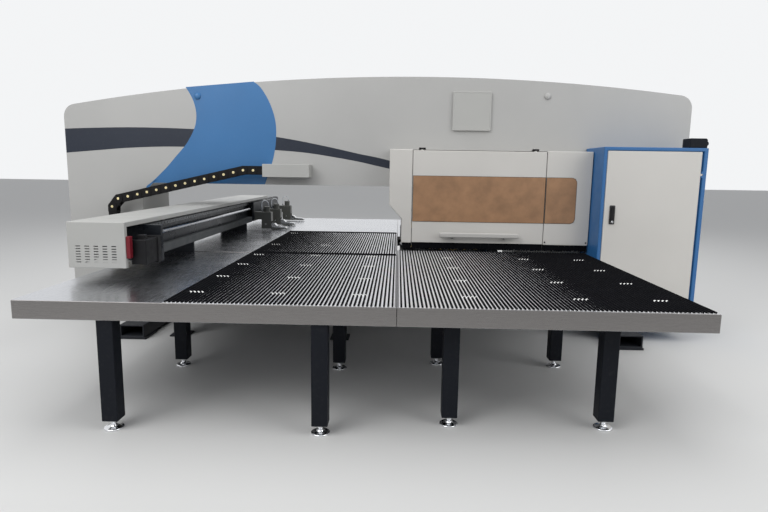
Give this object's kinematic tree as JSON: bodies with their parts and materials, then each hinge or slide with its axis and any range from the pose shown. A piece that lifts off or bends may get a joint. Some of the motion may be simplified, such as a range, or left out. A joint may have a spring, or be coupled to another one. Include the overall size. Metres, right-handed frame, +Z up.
{
  "type": "cnc turret punch press",
  "caption": "Turret punch press with a closed arched frame, brush tables in front and behind, a cross beam with sheet clamps on ball screws, indexing turrets under a guard and a control cabinet",
  "frame": {"origin": "On the floor, under the middle of the bounding box", "axes": "+X along the frame, from the beam's side to the cabinet's; +Y away from the operator; +Z up"},
  "size_m": [6.4, 6.01, 2.5514],
  "materials": {
    "frame_charcoal": "charcoal structural paint, satin",
    "table_charcoal": "charcoal powder coat, satin",
    "cover_grey": "warm light grey paint with painted blue and near-black fields, satin",
    "grey_sheet": "light warm grey paint, satin",
    "cream": "cream powder coat, fine texture",
    "blue": "blue powder coat, satin",
    "stainless": "brushed stainless sheet",
    "bristle": "black bristles in strips, matte",
    "ball_white": "white ball units, smooth",
    "chrome": "bright plated, with fine turning marks",
    "bright_steel": "ground steel",
    "housing_iron": "painted casting, satin",
    "motor_black": "black motor paint and plastic, matte",
    "chain_black": "black moulded plastic, matte",
    "beam_dark": "dark slate paint, satin",
    "red": "red paint, satin",
    "bellows_navy": "folded coated fabric, matte",
    "clamp_dark": "blackened steel, satin",
    "hose_silver": "silver grey plastic tube, glossy",
    "turret_steel": "machined steel, lightly oiled",
    "tool_brass": "gold coloured tool guides, satin",
    "handle_alu": "light grey painted bar, satin",
    "brown_pane": "brown tinted acrylic, glossy"
  },
  "bodies": {
    "frame": {"main_frame": "frame_charcoal", "base_soles": "frame_charcoal", "front_cover": "cover_grey", "rear_cover": "cover_grey", "roof_cover": "cover_grey", "throat_lining": "cover_grey", "sign_panel": "cover_grey", "chain_tray": "grey_sheet", "guard_housing": "cream", "guard_side_window": "brown_pane", "guard_rear": "cream", "cabinet_body": "blue", "cabinet_components": "grey_sheet", "duct_box": "table_charcoal", "deck_near_left": "stainless", "deck_near_right": "stainless", "deck_mid_left": "stainless", "decks_far": "stainless", "brush_bed_near_left": "bristle", "brush_bed_near_right": "bristle", "brush_bed_mid_left": "bristle", "ball_transfers": "ball_white", "table_frames": "table_charcoal", "table_legs": "table_charcoal", "levelling_feet": "chrome", "mid_table_stand": "table_charcoal", "guide_bench": "frame_charcoal", "y_rails": "bright_steel", "y_screw_supports": "housing_iron", "y_motor": "motor_black", "upper_bearing_housing": "housing_iron", "lower_bearing_housing": "housing_iron", "ram_guide": "housing_iron", "energy_chain": "chain_black"},
    "beam": {"saddle": "frame_charcoal", "cross_beam": "beam_dark", "beam_cover": "grey_sheet", "chain_bracket": "grey_sheet", "end_cover": "grey_sheet", "x_rails": "bright_steel", "x_motor": "motor_black", "belt_case": "beam_dark", "red_buffer": "red", "beam_bellows": "bellows_navy"},
    "carriage": {"clamp_carriage": "beam_dark", "clamp_bodies": "clamp_dark", "clamp_hoses": "hose_silver"},
    "jaws": {"upper_jaws": "bright_steel"},
    "long_screw": {"y_screw": "bright_steel"},
    "beam_screw": {"x_screw": "bright_steel"},
    "upper_tool_disc": {"upper_turret": "turret_steel", "punches": "tool_brass"},
    "lower_tool_disc": {"lower_turret": "turret_steel", "dies": "tool_brass"},
    "striker": {"ram": "bright_steel"},
    "guard_flap": {"guard_door": "cream", "door_window": "brown_pane", "door_handle": "handle_alu"},
    "cabinet_leaf": {"cabinet_door": "cream"},
    "lock_lever": {"lock_handle": "motor_black"}
  },
  "joints": [
    {"name": "beam_slide", "type": "slide", "parent": "frame", "child": "beam", "axis": [1, 0, 0], "range_m": [0, 1.45], "deforming": ["energy_chain"]},
    {"name": "clamp_slide", "type": "slide", "parent": "beam", "child": "carriage", "axis": [0, -1, 0], "range_m": [0, 2.5], "deforming": ["beam_bellows"]},
    {"name": "jaw_hinge", "type": "hinge", "parent": "carriage", "child": "jaws", "pos_m": [-1.464, 1.741, 0.894], "axis": [0, -1, 0], "range_deg": [0, 12]},
    {"name": "long_screw_spin", "type": "hinge", "parent": "frame", "child": "long_screw", "pos_m": [-1, 0, 0.575], "axis": [1, 0, 0], "continuous": true},
    {"name": "beam_screw_spin", "type": "hinge", "parent": "beam", "child": "beam_screw", "pos_m": [-1.66, 0, 1.094], "axis": [0, -1, 0], "continuous": true},
    {"name": "upper_turret_spin", "type": "hinge", "parent": "frame", "child": "upper_tool_disc", "pos_m": [0.835, 0, 1], "axis": [0, 0, 1], "continuous": true},
    {"name": "lower_turret_spin", "type": "hinge", "parent": "frame", "child": "lower_tool_disc", "pos_m": [0.835, 0, 0.7], "axis": [0, 0, 1], "continuous": true},
    {"name": "ram_stroke", "type": "slide", "parent": "frame", "child": "striker", "axis": [0, 0, -1], "range_m": [0, 0.04]},
    {"name": "guard_door_hinge", "type": "hinge", "parent": "frame", "child": "guard_flap", "pos_m": [1.065, -0.573, 1.833], "axis": [-1, 0, 0], "range_deg": [0, 95]},
    {"name": "cabinet_door_hinge", "type": "hinge", "parent": "frame", "child": "cabinet_leaf", "pos_m": [3.0915, -0.846, 1], "axis": [0, 0, 1], "range_deg": [0, 120]},
    {"name": "lock_turn", "type": "hinge", "parent": "cabinet_leaf", "child": "lock_lever", "pos_m": [2.29, -0.86, 1.164], "axis": [0, 1, 0], "range_deg": [0, 90]}
  ],
  "couplings": [
    {"joint": "long_screw_spin", "follows": "beam_slide", "rad_per_m": 157.08},
    {"joint": "beam_screw_spin", "follows": "clamp_slide", "rad_per_m": 251.33},
    {"joint": "lower_turret_spin", "follows": "upper_turret_spin", "ratio": 1}
  ]
}
